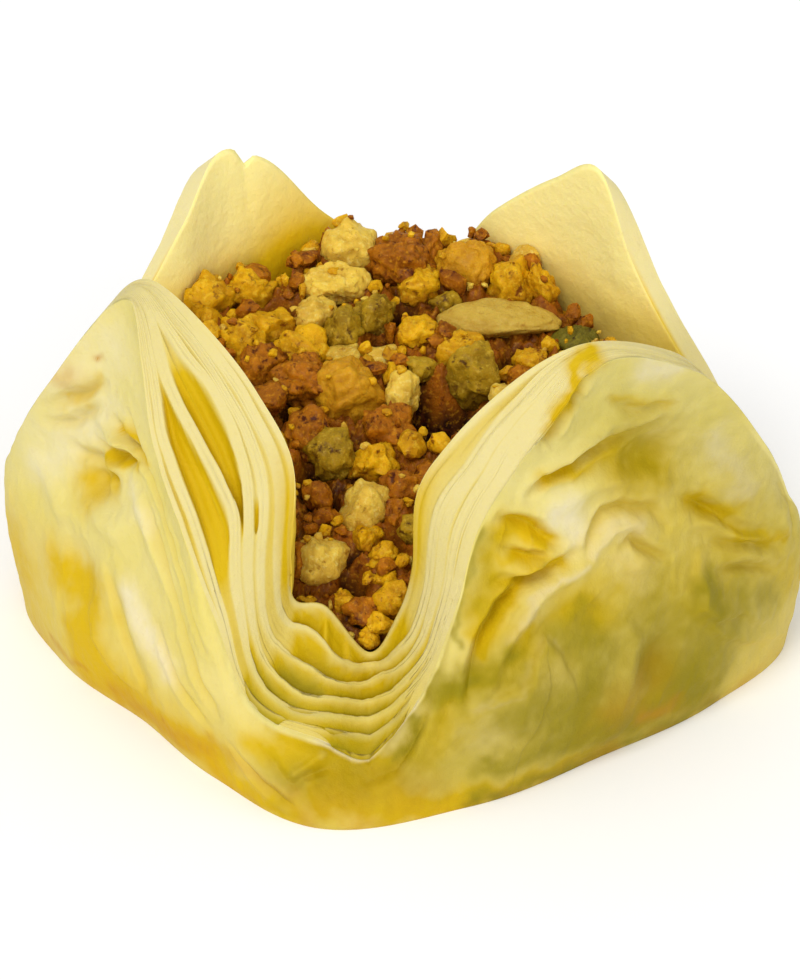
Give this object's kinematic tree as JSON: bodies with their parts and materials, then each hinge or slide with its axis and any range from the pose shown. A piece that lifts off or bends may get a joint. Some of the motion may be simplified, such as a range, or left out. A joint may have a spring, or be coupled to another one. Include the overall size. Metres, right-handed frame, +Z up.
{
  "type": "baklava piece",
  "caption": "Filo pastry parcel whose folded corners stand up round a heap of chopped nuts, open at the front in a V of layered sheets.",
  "frame": {"origin": "centre of the piece's box, on the flat underside it rests on", "axes": "+Z up out of the open top, -Y towards the low V at the front, +X to the right seen from the front"},
  "size_m": [0.0566, 0.0542, 0.0339],
  "materials": {
    "filo_pastry": "satin",
    "chopped_nuts": "satin"
  },
  "bodies": {
    "root": {"filo_cup": "filo_pastry", "nut_filling": "chopped_nuts"}
  },
  "joints": []
}
